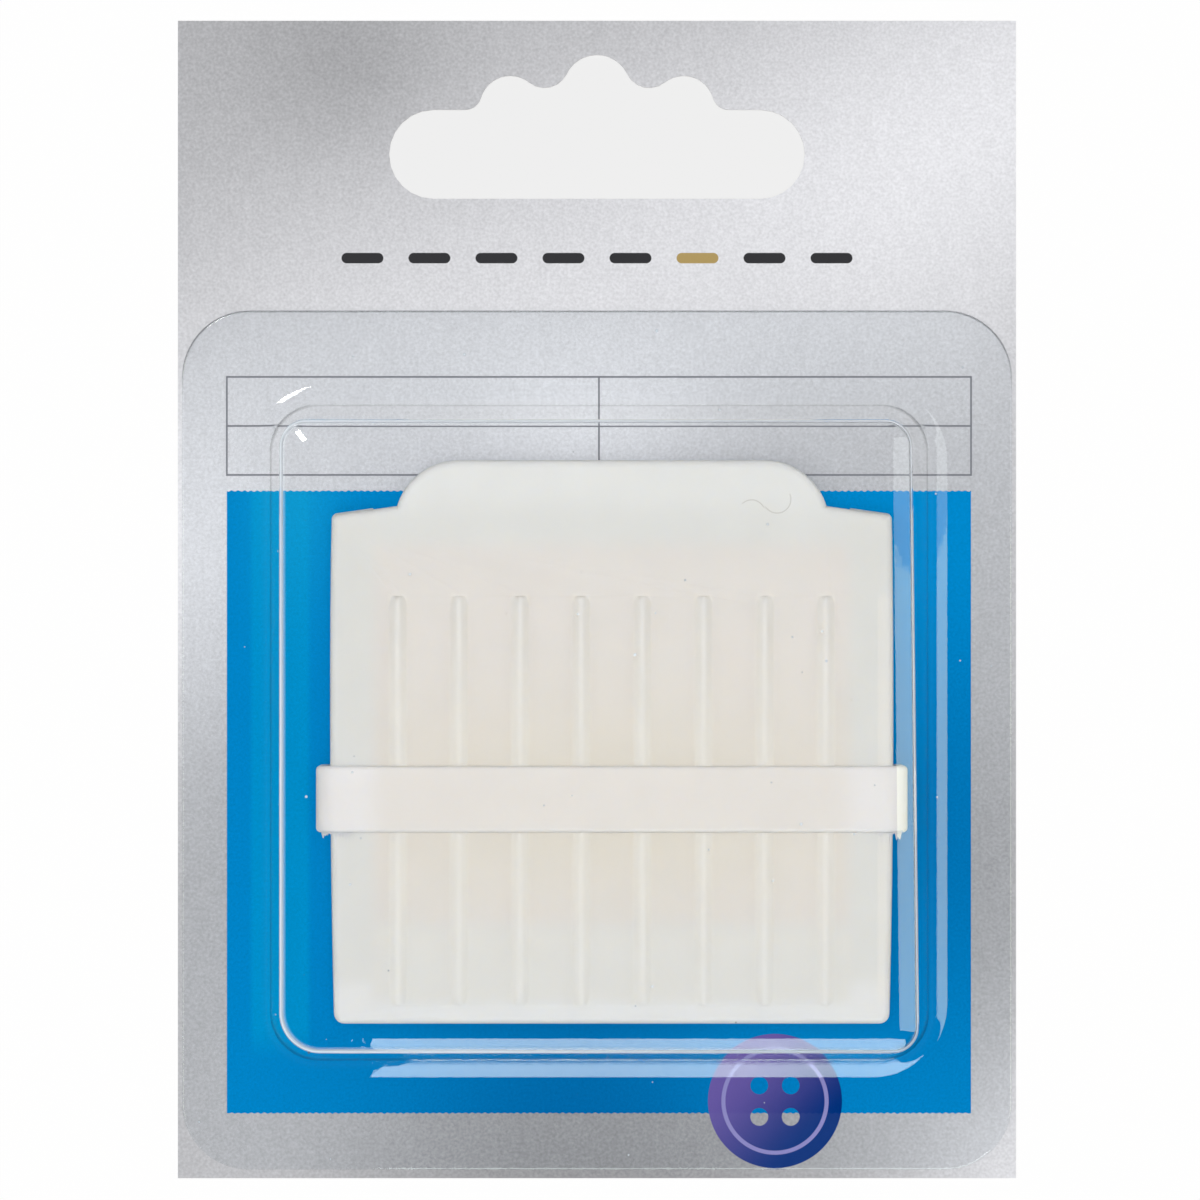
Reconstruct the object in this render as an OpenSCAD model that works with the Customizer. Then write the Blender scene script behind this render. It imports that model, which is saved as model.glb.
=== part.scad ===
// Dressmaker's chalk in a flat clamp holder, as sold in a clear blister on a hanging card.
// The pack lies on its back: X to the right, Y towards the hang slot, Z up through the blister.
// Millimetres. The origin is the middle of the card's back face.

/* [Chalk plate] */
// Width of the chalk plate
chalk_w = 44.8; // [36:0.1:60]
// Height of the chalk plate, from sharpened edge to sharpened edge
chalk_h = 36; // [28:0.5:50]
// Thickness of the chalk plate
chalk_t = 5; // [3.5:0.1:8]
// Thickness left at the sharpened edges
chalk_edge_t = 1; // [0.6:0.1:2]
// How far each bevel runs in from a sharpened edge
chalk_bevel = 4.5; // [2:0.1:8]
// Corner radius of the plate, seen from the front
chalk_corner_r = 1.6; // [0.4:0.1:3]

/* [Holder moulding] */
// Thickness of each leaf
leaf_t = 1.3; // [0.9:0.1:2]
// Width of the side rails beside the chalk
rail_w = 3.9; // [2.5:0.1:6]
// Thickness of the floor next to the hinge
floor_t = 1.5; // [1.2:0.1:3]
// Height of the hollow cell under the chalk
cell_h = 6.3; // [3:0.1:10]
// Thickness of the ledge that the chalk stands on
ledge_t = 1.4; // [1:0.1:3]
// How far the shoulders stand above the chalk
shoulder_rise = 3.4; // [1.5:0.1:6]
// How far the lip stands above the shoulders
lip_rise = 4.7; // [4:0.1:10]
// Width of the lip
lip_w = 41.3; // [30:0.1:46]
// Radius of the lip's upper corners
lip_corner_r = 6.2; // [3:0.1:8]
// How far each shoulder falls from the lip to its corner
shoulder_fall = 0.8; // [0.1:0.1:1.5]
// Corner radius of the shoulders, seen from the front
shoulder_r = 0.6; // [0.2:0.1:2]
// Corner radius of the foot, seen from the front
foot_r = 1.1; // [0.2:0.1:3]
// How far the sides bow out at mid height
side_bow = 0.2; // [0:0.05:0.6]
// How much narrower the foot is, on each side
foot_taper = 0.2; // [0:0.05:0.8]
// Rounding along the outer edges of each leaf
edge_r = 1; // [0.4:0.1:1.4]
// Draft on the sides of each half
side_draft = 0.12; // [0:0.02:0.3]
// Chamfer inside the lips, which leads a new plate in
lip_lead = 0.6; // [0.2:0.1:1]
// Radius of the hinge web along the foot
web_r = 0.5; // [0.3:0.05:0.6]
// How far the web's fold stands below the foot
web_proud = 0.1; // [0.05:0.05:0.2]
// How far the hinge web stops short of each side
web_inset = 3; // [1:0.5:10]
// Angle between the leaves as photographed, with the ring half way
open_deg = 1.4; // [0.5:0.1:2]

/* [Ribs] */
// Number of ribs on each leaf
rib_n = 8; // [4:1:12]
// Width of a rib
rib_w = 1.15; // [0.6:0.05:2]
// Height of a rib where the ring rests
rib_h = 0.35; // [0.2:0.05:0.8]
// Distance from the side rail to the middle of the outer ribs
rib_inset = 2.45; // [1:0.05:5]
// Distance from the shoulder to the top of the ribs
rib_top_gap = 8.2; // [4:0.1:12]
// Distance from the foot to the lower end of the ribs
rib_foot_gap = 1.9; // [1.5:0.1:6]

/* [Clamp ring] */
// Height of the ring, along the holder
ring_h = 6.3; // [4:0.1:9]
// Wall of the ring
ring_t = 1; // [0.6:0.1:2]
// Height of the ring's middle above the holder's foot
ring_rest = 21.3; // [14:0.1:26]
// Rounding of the ring's end faces
ring_end_r = 0.3; // [0.1:0.05:0.45]
// Radius inside the ring's corners
ring_corner_r = 0.8; // [0.3:0.1:1]

/* [Clearances] */
// Gap between the chalk and each leaf with the jaws closed
chalk_face_gap = 0.1; // [0.05:0.05:0.4]
// Gap between the chalk and each side rail
chalk_side_gap = 0.25; // [0.1:0.05:0.6]
// Gap between the chalk and the ledge
chalk_foot_gap = 0.2; // [0.05:0.05:0.5]
// Gap between the two halves with the jaws closed
part_gap = 0.1; // [0.05:0.05:0.3]
// Gap round the hinge web
web_gap = 0.08; // [0.04:0.02:0.15]
// Gap between the ring and the sides of the holder
ring_side_gap = 0.2; // [0.1:0.05:0.5]
// Gap between the ring and the crests of the ribs
ring_face_gap = 0.15; // [0.1:0.05:0.4]
// Gap between the ring and the card
rest_gap = 0.1; // [0.05:0.05:0.5]
// Thickness of the seal between flange and card
seal_gap = 0.05; // [0.05:0.05:0.3]

/* [Blister] */
// Thickness of the clear sheet
sheet_t = 0.3; // [0.2:0.05:0.6]
// Draft angle of the dome's walls
dome_draft = 4.5; // [2:0.5:15]
// Radius where the dome rises from its flange
dome_foot_r = 2.8; // [0.8:0.1:4]
// Radius round the dome's top edge
dome_top_r = 0.8; // [0.7:0.1:2]
// Corner radius of the dome at its foot, seen from the front
dome_corner_low = 7.6; // [5:0.1:12]
// Corner radius of the dome at its top, seen from the front
dome_corner_high = 3.4; // [1:0.1:5]
// Space between the ring and the dome's left wall
play_left = 3; // [0.5:0.05:8]
// Space between the ring and the dome's right wall
play_right = 0.9; // [0.5:0.05:8]
// Space between the lip and the dome's upper wall
play_top = 3.65; // [1.5:0.1:10]
// Space between the foot and the dome's lower wall
play_bottom = 2.35; // [1:0.1:10]
// Space over the front of the ring
head_room = 1.6; // [1:0.1:5]
// Flange left of the dome
flange_left = 6.3; // [3:0.05:15]
// Flange right of the dome
flange_right = 5.6; // [3:0.05:15]
// Flange above the dome
flange_top = 6.8; // [3:0.05:15]
// Flange below the dome
flange_bottom = 8.15; // [3:0.05:15]
// Corner radius of the flange
flange_corner_r = 6.4; // [2:0.1:9]

/* [Backing card] */
// Thickness of the card
card_t = 0.5; // [0.3:0.05:1.2]
// Card showing on each side of the flange
card_side = 0.4; // [0.2:0.1:4]
// Card showing below the flange
card_foot = 0.85; // [0.2:0.05:5]
// Height of the bare card above the flange
header_h = 27.7; // [24:0.1:50]

/* [Hang slot] */
// Length of the slot
slot_w = 39.7; // [36:0.1:60]
// Height of the slot at its ends
slot_h = 8.5; // [6:0.1:12]
// Distance from the card's top edge to the slot's shoulders
slot_drop = 8.5; // [6:0.1:11]
// Radius of the middle hump
hump_r = 3.2; // [2:0.1:4]
// Height of the middle hump above the shoulders
hump_rise = 5.25; // [4.5:0.05:5.9]
// Radius of the two side humps
side_hump_r = 2.9; // [2.4:0.1:3.4]
// Height of the side humps above the shoulders
side_hump_rise = 3.25; // [2.6:0.05:4]
// Radius of the tongues between the humps
tongue_r = 2.35; // [1.6:0.05:3]
// Height of the tongues' tips above the shoulders
tongue_rise = 2.1; // [1.6:0.05:2.6]
// Radius that joins a side hump to the shoulder
slot_fillet_r = 1.6; // [0.8:0.1:2.4]

/* [Hidden] */

$fn = 64;
// Steps in each rounded corner of a lofted outline
corner_steps = 6;
// Steps in a small rounded edge or corner
edge_steps = 3;
// Smallest corner radius that an inset outline keeps
least_r = 0.08;
// How far a cut runs past the face that it opens
past = 1;
// Points along each bowed side of the holder
side_steps = 5;

// Heights along the holder, from its foot
ledge_top = floor_t + cell_h + ledge_t;
chalk_y = ledge_top + chalk_foot_gap;
shoulder_y = chalk_y + chalk_h + shoulder_rise;
holder_h = shoulder_y + lip_rise;
rib_low = rib_foot_gap;
rib_high = shoulder_y - rib_top_gap;
ring_low = ring_rest - ring_h / 2;
ring_high = ring_rest + ring_h / 2;
hinge_y = web_r - web_proud;

// Widths across the holder
pocket_w = chalk_w + 2 * chalk_side_gap;
holder_w = pocket_w + 2 * rail_w;
holder_max_w = holder_w + 2 * side_bow;
ring_in_w = holder_max_w + 2 * ring_side_gap;
ring_w = ring_in_w + 2 * ring_t;
rib_pitch = (pocket_w - 2 * rib_inset) / (rib_n - 1);
web_w = holder_w - 2 * (foot_taper + web_inset);

// Levels through the pack, from the card's back
tray_h = leaf_t + chalk_t / 2 + chalk_face_gap - part_gap / 2;
ring_back_z = card_t + rest_gap;
back_face_z = ring_back_z + ring_t + ring_face_gap + rib_h;
part_z = back_face_z + tray_h + part_gap / 2;
ring_reach = ring_high - hinge_y;
crest_reach = part_gap / 2 + tray_h + rib_h;
crest_z = part_z + ring_reach * sin(open_deg) + crest_reach * cos(open_deg);
ring_front_z = crest_z + ring_face_gap + ring_t;
flange_z = card_t + seal_gap;
dome_h = ring_front_z + head_room + sheet_t - (flange_z + sheet_t);

// The ribs on the hinged leaf rise towards the lip, so that a ring pushed up pulls the leaf shut
// The leaf is parallel to the other once the ring's top meets the top of the ribs
ring_travel = rib_high - ring_high;
wedge_rate = ring_travel > past ? open_deg * PI / 180 / ring_travel : 0;

// Dome wall: a hollow radius at the foot, a straight drafted wall and a round top edge
dome_radii = dome_foot_r + dome_top_r;
dome_inset = dome_radii * cos(dome_draft)
    + tan(dome_draft) * (dome_h - dome_radii * (1 - sin(dome_draft)));
ring_level = ring_front_z - flange_z - sheet_t;
wall_foot = dome_foot_r * (1 - sin(dome_draft));
wall_inset = dome_foot_r * cos(dome_draft) + tan(dome_draft) * (ring_level - wall_foot);
wall_in = wall_inset + sheet_t / cos(dome_draft);
dome_w = ring_w + play_left + play_right + 2 * wall_in;
dome_len = holder_h + play_top + play_bottom + 2 * wall_in;

// Places on the card, whose middle is the origin
card_w = 2 * card_side + flange_left + dome_w + flange_right;
card_h = card_foot + flange_bottom + dome_len + flange_top + header_h;
flange_x0 = -card_w / 2 + card_side;
flange_x1 = card_w / 2 - card_side;
flange_y0 = -card_h / 2 + card_foot;
flange_y1 = card_h / 2 - header_h;
dome_x0 = flange_x0 + flange_left;
dome_x1 = dome_x0 + dome_w;
dome_y0 = flange_y0 + flange_bottom;
dome_y1 = dome_y0 + dome_len;
tool_x = dome_x0 + wall_in + play_left + ring_w / 2;
tool_y = dome_y0 + wall_in + play_bottom;

// Points on an arc, from angle a0 to a1 in n steps
function arc(cx, cy, r, a0, a1, n) =
    [for (i = [0 : n]) let (a = a0 + (a1 - a0) * i / n) [cx + r * cos(a), cy + r * sin(a)]];

// Outline of a rectangle with round corners, counterclockwise
function round_rect(x0, y0, x1, y1, r, n) = concat(
    arc(x1 - r, y0 + r, r, -90, 0, n),
    arc(x1 - r, y1 - r, r, 0, 90, n),
    arc(x0 + r, y1 - r, r, 90, 180, n),
    arc(x0 + r, y0 + r, r, 180, 270, n)
);

// An outline raised to a level
function lift(outline, z) = [for (p = outline) [p[0], p[1], z]];

// Half width of the holder at a height, with its bow and taper
function side_x(y) =
    let (t = y / shoulder_y)
    holder_w / 2 + 4 * side_bow * t * (1 - t) - foot_taper * (1 - t) * (1 - t);

// Right half of the holder's outline, drawn in by d, from the foot to the lip
function half_outline(d) =
    let (
        fr = max(foot_r - d, least_r),
        sr = max(shoulder_r - d, least_r),
        foot_x = side_x(foot_r) - d - fr,
        top_x = side_x(shoulder_y) - d - sr,
        y0 = d + fr,
        y1 = shoulder_y - shoulder_fall - d - sr,
        lr = lip_corner_r - d,
        lx = lip_w / 2 - lip_corner_r,
        ly = holder_h - lip_corner_r,
        notch_y = shoulder_y - d,
        a = notch_y > ly ? asin((notch_y - ly) / lr) : 0
    )
    concat(
        arc(foot_x, y0, fr, -90, 0, edge_steps),
        [for (i = [1 : side_steps])
            let (y = y0 + (y1 - y0) * i / (side_steps + 1)) [side_x(y) - d, y]],
        arc(top_x, y1, sr, 0, 90, edge_steps),
        [[lx + lr * cos(a), notch_y]],
        [for (i = [1 : corner_steps])
            let (b = a + (90 - a) * i / corner_steps) [lx + lr * cos(b), ly + lr * sin(b)]]
    );

// The holder's whole outline, counterclockwise
function holder_outline(d) =
    let (right = half_outline(d), n = len(right))
    concat(right, [for (i = [n - 1 : -1 : 0]) [-right[i][0], right[i][1]]]);

// A skin over a stack of outlines that have as many points each. Where it isn't closed on itself,
// its outlines are symmetric, and strips from side to side cap it.
module loft(rings, closed = false) {
    n = len(rings[0]);
    m = len(rings);
    points = [for (ring = rings) for (p = ring) p];
    bands = closed ? m : m - 1;
    sides = [for (j = [0 : bands - 1]) for (i = [0 : n - 1])
        let (
            k = (i + 1) % n,
            low = j * n,
            high = ((j + 1) % m) * n
        )
        each [[low + i, high + i, high + k], [low + i, high + k, low + k]]];
    top = (m - 1) * n;
    caps = closed ? [] : [for (i = [0 : n / 2 - 2])
        let (j = n - 1 - i)
        each [[i, i + 1, j - 1, j], [top + j, top + j - 1, top + i + 1, top + i]]];
    polyhedron(points, concat(sides, caps), convexity = 6);
}

// Cross-section of a rib of height h and width w, with a round crest and a root in the leaf
function rib_section(w, h) = [
    [w / 2, -rib_h],
    [w / 2, h / 2],
    [w / 4, h],
    [-w / 4, h],
    [-w / 2, h / 2],
    [-w / 2, -rib_h]
];

// Rise of a wedge rib's crest at a height along the holder
function crest_rise(y, wedge) = wedge * pow(max(y - ring_high, 0), 2);

// One rib from rib_low to rib_high, its ends rounded off
module rib(wedge) {
    steps = 10;
    ends = [for (i = [0 : edge_steps]) 1 - cos(90 * i / edge_steps)];
    end_len = rib_w;
    stations = concat(
        [for (e = ends) [rib_high - end_len * e, sqrt(1 - pow(1 - e, 2))]],
        [for (i = [1 : steps - 1])
            [rib_high - end_len - (rib_high - rib_low - 2 * end_len) * i / steps, 1]],
        [for (i = [edge_steps : -1 : 0])
            [rib_low + end_len * ends[i], sqrt(1 - pow(1 - ends[i], 2))]]
    );
    rings = [for (s = stations)
        let (
            share = max(s[1], least_r),
            h = rib_h * share + crest_rise(s[0], wedge) * share,
            w = rib_w * (1 + share) / 2
        )
        lift(rib_section(w, h), rib_high - s[0])];
    translate([0, rib_high, 0])
        rotate([90, 0, 0])
            loft(rings);
}

// One half of the holder, with its parting face down and its outer face up
module tray(wedge) {
    edge_levels = [for (i = [0 : edge_steps]) 90 * i / edge_steps];
    rings = concat(
        [lift(holder_outline(0), 0)],
        [for (a = edge_levels)
            lift(
                holder_outline(side_draft + edge_r * (1 - cos(a))),
                tray_h - edge_r * (1 - sin(a))
            )]
    );
    difference() {
        loft(rings);
        // Pocket for the chalk, open at the lips
        translate([-pocket_w / 2, ledge_top, -past])
            cube([pocket_w, holder_h, tray_h - leaf_t + past]);
        // Hollow cell between the ledge and the floor
        translate([-pocket_w / 2, floor_t, -past])
            cube([pocket_w, cell_h, tray_h - leaf_t + past]);
        // Lead inside the lip
        translate([-pocket_w / 2, holder_h, tray_h - leaf_t])
            rotate([90, 0, 90])
                linear_extrude(pocket_w)
                    polygon([[-lip_lead, 0], [past, -past], [past, lip_lead / 2], [0, lip_lead / 2]]);
    }
    for (i = [0 : rib_n - 1])
        translate([(i - (rib_n - 1) / 2) * rib_pitch, 0, tray_h])
            rib(wedge);
}

// Right half of the slot's outline, from the middle of its lower edge to the top of the middle
// hump, with the middle hump on the Y axis and the shoulders on the X axis
function slot_half() =
    let (
        mid_y = hump_rise - hump_r,
        side_y = side_hump_rise - side_hump_r,
        tongue_y = tongue_rise + tongue_r,
        tongue_x = sqrt(pow(hump_r + tongue_r, 2) - pow(tongue_y - mid_y, 2)),
        hump_x = tongue_x + sqrt(pow(side_hump_r + tongue_r, 2) - pow(tongue_y - side_y, 2)),
        fillet_y = slot_fillet_r,
        fillet_x = hump_x + sqrt(pow(side_hump_r + slot_fillet_r, 2) - pow(fillet_y - side_y, 2)),
        end_r = slot_h / 2,
        end_x = slot_w / 2 - end_r,
        outer_a = atan2(fillet_y - side_y, fillet_x - hump_x),
        inner_a = atan2(tongue_y - side_y, tongue_x - hump_x),
        mid_a = atan2(tongue_y - mid_y, tongue_x)
    )
    concat(
        arc(end_x, -end_r, end_r, -90, 90, 2 * corner_steps),
        arc(fillet_x, fillet_y, slot_fillet_r, 270, 180 + outer_a, corner_steps),
        inner_points(arc(hump_x, side_y, side_hump_r, outer_a, inner_a, 2 * corner_steps)),
        arc(tongue_x, tongue_y, tongue_r, inner_a - 180, mid_a - 180, corner_steps),
        inner_points(arc(0, mid_y, hump_r, mid_a, 90, corner_steps))
    );

// A list of points without its first and last
function inner_points(points) = [for (i = [1 : len(points) - 2]) points[i]];

// The slot: both halves, and the top of the middle hump between them
module slot_outline() {
    right = slot_half();
    n = len(right);
    polygon(concat(
        right,
        [[0, hump_rise]],
        [for (i = [n - 1 : -1 : 0]) [-right[i][0], right[i][1]]]
    ));
}

// Punched card that everything is sealed to
module backing_card() {
    color("silver")
        linear_extrude(card_t)
            difference() {
                translate([-card_w / 2, -card_h / 2])
                    square([card_w, card_h]);
                translate([0, card_h / 2 - slot_drop])
                    slot_outline();
            }
}

// Where the dome's skin lies at draft angle a, s below its outer face: drawn-in distance,
// height over the flange's top, and corner radius
function dome_foot_at(a, s) =
    let (u = dome_foot_r * cos(a))
    [u + s * cos(a), dome_foot_r - (dome_foot_r + s) * sin(a), dome_corner(u) - s * cos(a)];

function dome_edge_at(a, s) =
    let (u = dome_inset - dome_top_r * cos(a))
    [u + s * cos(a), dome_h - dome_top_r + (dome_top_r - s) * sin(a), dome_corner(u) - s * cos(a)];

function dome_corner(u) =
    dome_corner_low + (dome_corner_high - dome_corner_low) * u / dome_inset;

// The dome's outline for one such place
function dome_ring(p) =
    lift(
        round_rect(dome_x0 + p[0], dome_y0 + p[0], dome_x1 - p[0], dome_y1 - p[0], p[2], corner_steps),
        flange_z + sheet_t + p[1]
    );

// Vacuum-formed clear sheet: a flat flange with one dome
module blister() {
    steps = 4;
    foot_angles = [for (i = [0 : steps]) 90 + (dome_draft - 90) * i / steps];
    edge_angles = [for (i = [0 : steps]) dome_draft + (90 - dome_draft) * i / steps];
    outer = concat(
        [for (a = foot_angles) dome_ring(dome_foot_at(a, 0))],
        [for (a = edge_angles) dome_ring(dome_edge_at(a, 0))]
    );
    inner = concat(
        [for (i = [steps : -1 : 0]) dome_ring(dome_edge_at(edge_angles[i], sheet_t))],
        [for (i = [steps : -1 : 0]) dome_ring(dome_foot_at(foot_angles[i], sheet_t))]
    );
    rim = round_rect(flange_x0, flange_y0, flange_x1, flange_y1, flange_corner_r, corner_steps);
    color([0.8, 0.9, 1, 0.35])
        loft(concat(inner, [lift(rim, flange_z), lift(rim, flange_z + sheet_t)], outer));
}

// Rear half of the holder, with the hinge web along its foot
module back_jaw() {
    color("ivory")
        translate([tool_x, tool_y, part_z]) {
            translate([0, 0, -part_gap / 2])
                mirror([0, 0, 1])
                    tray(0);
            translate([-web_w / 2, hinge_y, 0])
                rotate([0, 90, 0])
                    cylinder(h = web_w, r = web_r);
        }
}

// Front half of the holder, which swings on the web
module front_jaw() {
    relief_w = web_w + 2 * web_gap;
    color("ivory")
        translate([tool_x, tool_y + hinge_y, part_z])
            rotate([open_deg, 0, 0])
                difference() {
                    translate([0, -hinge_y, part_gap / 2])
                        tray(wedge_rate);
                    translate([-relief_w / 2, 0, 0])
                        rotate([0, 90, 0])
                            cylinder(h = relief_w, r = web_r + web_gap);
                }
}

// Flat band that slides along the holder and clamps the jaws
module clamp_ring() {
    x = ring_w / 2;
    z0 = ring_back_z;
    z1 = ring_front_z;
    outer_r = ring_corner_r + ring_t;
    end_levels = [for (i = [0 : edge_steps]) 90 * i / edge_steps];
    outline = function (d) round_rect(-x + d, z0 + d, x - d, z1 - d, outer_r - d, corner_steps);
    rings = concat(
        [lift(outline(ring_t), 0)],
        [for (a = end_levels) lift(outline(ring_end_r * (1 - sin(a))), ring_end_r * (1 - cos(a)))],
        [for (i = [edge_steps : -1 : 0]) let (a = end_levels[i])
            lift(outline(ring_end_r * (1 - sin(a))), ring_h - ring_end_r * (1 - cos(a)))],
        [lift(outline(ring_t), ring_h)]
    );
    color("ivory")
        translate([tool_x, tool_y + ring_high, 0])
            rotate([90, 0, 0])
                loft(rings, closed = true);
}

// Pressed chalk with two sharpened edges
module chalk_plate() {
    half = chalk_t / 2;
    edge = chalk_edge_t / 2;
    color("white")
        translate([tool_x, tool_y + chalk_y, part_z])
            intersection() {
                translate([-chalk_w / 2, 0, 0])
                    rotate([90, 0, 90])
                        linear_extrude(chalk_w)
                            polygon([
                                [0, -edge],
                                [chalk_bevel, -half],
                                [chalk_h - chalk_bevel, -half],
                                [chalk_h, -edge],
                                [chalk_h, edge],
                                [chalk_h - chalk_bevel, half],
                                [chalk_bevel, half],
                                [0, edge]
                            ]);
                translate([0, 0, -half])
                    linear_extrude(chalk_t)
                        plate_outline();
            }
}

// The chalk plate seen from the front
module plate_outline() {
    r = chalk_corner_r;
    x = chalk_w / 2;
    translate([-x + r, 0])
        square([chalk_w - 2 * r, chalk_h]);
    translate([-x, r])
        square([chalk_w, chalk_h - 2 * r]);
    for (cx = [-x + r, x - r], cy = [r, chalk_h - r])
        translate([cx, cy])
            circle(r);
}

backing_card();
blister();
back_jaw();
front_jaw();
clamp_ring();
chalk_plate();
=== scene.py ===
# Tailors chalk in a clamp holder, sealed in a clear blister on a hanging card.
# Meshes are worked out in millimetres and written in metres. The camera, lamps and table are
# placed in metres.

import math
import random

import bmesh
import bpy
from mathutils import Matrix, Vector


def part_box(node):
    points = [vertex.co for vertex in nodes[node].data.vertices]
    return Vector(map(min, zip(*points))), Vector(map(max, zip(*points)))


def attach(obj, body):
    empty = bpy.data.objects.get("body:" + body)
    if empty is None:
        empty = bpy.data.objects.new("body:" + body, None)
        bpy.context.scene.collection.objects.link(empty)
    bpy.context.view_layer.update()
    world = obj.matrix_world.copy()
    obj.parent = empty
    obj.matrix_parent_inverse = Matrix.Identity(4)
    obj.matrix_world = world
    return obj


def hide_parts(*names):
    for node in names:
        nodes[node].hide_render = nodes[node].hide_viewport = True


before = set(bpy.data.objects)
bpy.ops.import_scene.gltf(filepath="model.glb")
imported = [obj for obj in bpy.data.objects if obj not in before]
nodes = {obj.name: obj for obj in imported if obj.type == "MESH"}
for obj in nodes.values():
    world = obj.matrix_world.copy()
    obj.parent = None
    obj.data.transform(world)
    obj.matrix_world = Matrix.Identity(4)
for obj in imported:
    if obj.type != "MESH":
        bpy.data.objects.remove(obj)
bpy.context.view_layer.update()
MM = 0.001


# Table and lamps
# A pale table under a square lamp, which throws most of the light. A softbox in two parts to the
# right, a long one beyond the card's foot and a hard lamp at the upper left show in the gloss.
camera_height = 0.9
camera_aim = (0.00029, -0.00005)
view_width = 0.1146
card_face_z = 0.0005
film_width = 36

camera_data = bpy.data.cameras.new("camera")
camera_data.sensor_width = film_width
camera_data.lens = film_width * (camera_height - card_face_z) / view_width
camera_data.clip_start = 0.02
camera = bpy.data.objects.new("camera", camera_data)
camera.location = (camera_aim[0], camera_aim[1], camera_height)
bpy.context.scene.collection.objects.link(camera)
bpy.context.scene.camera = camera
bpy.context.scene.view_settings.view_transform = "Standard"


def on_dome(azimuth, elevation, distance):
    a = math.radians(azimuth)
    e = math.radians(elevation)
    flat = math.cos(e) * distance
    return Vector((flat * math.cos(a), flat * math.sin(a), math.sin(e) * distance))


def softbox(name, place, width, height, seen, thrown, colour=(1, 1, 1), slide=(0, 0, 0)):
    """A lamp as it is seen in gloss, and a second in its place for the light it throws."""
    for use, radiance in (("seen", seen), ("thrown", thrown)):
        if radiance == 0:
            continue
        lamp = bpy.data.lights.new(name + "_" + use, "AREA")
        lamp.shape = "RECTANGLE"
        lamp.size = width
        lamp.size_y = height
        lamp.energy = radiance * width * height * 4
        lamp.color = colour
        holder = bpy.data.objects.new(lamp.name, lamp)
        holder.location = place + Vector(slide)
        holder.rotation_euler = place.to_track_quat("Z", "Y").to_euler()
        holder.visible_camera = False
        holder.visible_diffuse = use == "thrown"
        holder.visible_glossy = use == "seen"
        holder.visible_transmission = use == "seen"
        bpy.context.scene.collection.objects.link(holder)


right_place = on_dome(0, 57, 1.0)
foot_place = on_dome(270, 37.5, 0.8)
softbox("softbox_right", right_place, 0.23, 0.65, 2.1, 0.2, (0.92, 1.0, 0.7), (0, -0.095, 0))
softbox("softbox_right_end", right_place, 0.23, 0.65, 0.95, 0.2, (0.96, 1.0, 0.98), (0, 0.135, 0))
softbox("softbox_foot", foot_place, 0.378, 0.95, 3.4, 0.36, (0.86, 1.0, 0.94), (0.14, 0, 0))
softbox("lamp_upper_left", on_dome(125, 70, 1.0), 0.1, 0.22, 20.0, 0.0)
softbox("lamp_above", on_dome(215, 88, 1.0), 0.42, 0.42, 0.0, 10.3, (1.0, 0.982, 0.968))


class Wiring:
    """A node tree and the short calls that build it."""

    def __init__(self, owner):
        owner.use_nodes = True
        self.tree = owner.node_tree
        self.tree.nodes.clear()
        self.rays = self.add("ShaderNodeLightPath").outputs
        self.place = self.add("ShaderNodeTexCoord").outputs

    def add(self, kind, **settings):
        node = self.tree.nodes.new(kind)
        for key, value in settings.items():
            setattr(node, key, value)
        return node

    def feed(self, socket, value):
        if isinstance(value, bpy.types.NodeSocket):
            self.tree.links.new(value, socket)
        else:
            socket.default_value = value

    def wire(self, kind, *values, **settings):
        """A node with its first sockets fed, as its first output."""
        node = self.add(kind, **settings)
        for socket, value in zip(node.inputs, values):
            self.feed(socket, value)
        return node.outputs[0]

    def sum(self, operation, *values, clamp=False):
        return self.wire("ShaderNodeMath", *values, operation=operation, use_clamp=clamp)

    def slope(self, value, start, end, low, high):
        """A straight run from low to high between start and end."""
        return self.wire("ShaderNodeMapRange", value, start, end, low, high)

    def line_of_sight(self):
        """1 for rays that reach the camera straight or through clear sheet, with no reflection between."""
        unreflected = self.sum("LESS_THAN", self.rays["Glossy Depth"], 0.5)
        unscattered = self.sum("LESS_THAN", self.rays["Diffuse Depth"], 0.5)
        through = self.sum("MULTIPLY", self.rays["Is Transmission Ray"], unreflected)
        through = self.sum("MULTIPLY", through, unscattered)
        return self.sum("MAXIMUM", self.rays["Is Camera Ray"], through)


fill_level = 0.37
zenith_level = 0.008
horizon_level = 0.09
horizon_z = 0.05
zenith_z = 0.75
world = bpy.data.worlds.new("studio")
bpy.context.scene.world = world
sky = Wiring(world)
sky_z = sky.add("ShaderNodeSeparateXYZ")
sky.feed(sky_z.inputs[0], sky.place["Generated"])
dim_level = sky.slope(sky_z.outputs["Z"], horizon_z, zenith_z, horizon_level, zenith_level)
fill, dim, white = [sky.add("ShaderNodeBackground") for _ in range(3)]
fill.inputs["Strength"].default_value = fill_level
sky.feed(dim.inputs["Strength"], dim_level)
white.inputs["Strength"].default_value = 1.0
mirrored = sky.sum("GREATER_THAN", sky.rays["Glossy Depth"], 0.5)
soft = sky.wire("ShaderNodeMixShader", mirrored, fill.outputs[0], dim.outputs[0])
studio = sky.wire("ShaderNodeMixShader", sky.line_of_sight(), soft, white.outputs[0])
sky.feed(sky.add("ShaderNodeOutputWorld").inputs[0], studio)

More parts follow.
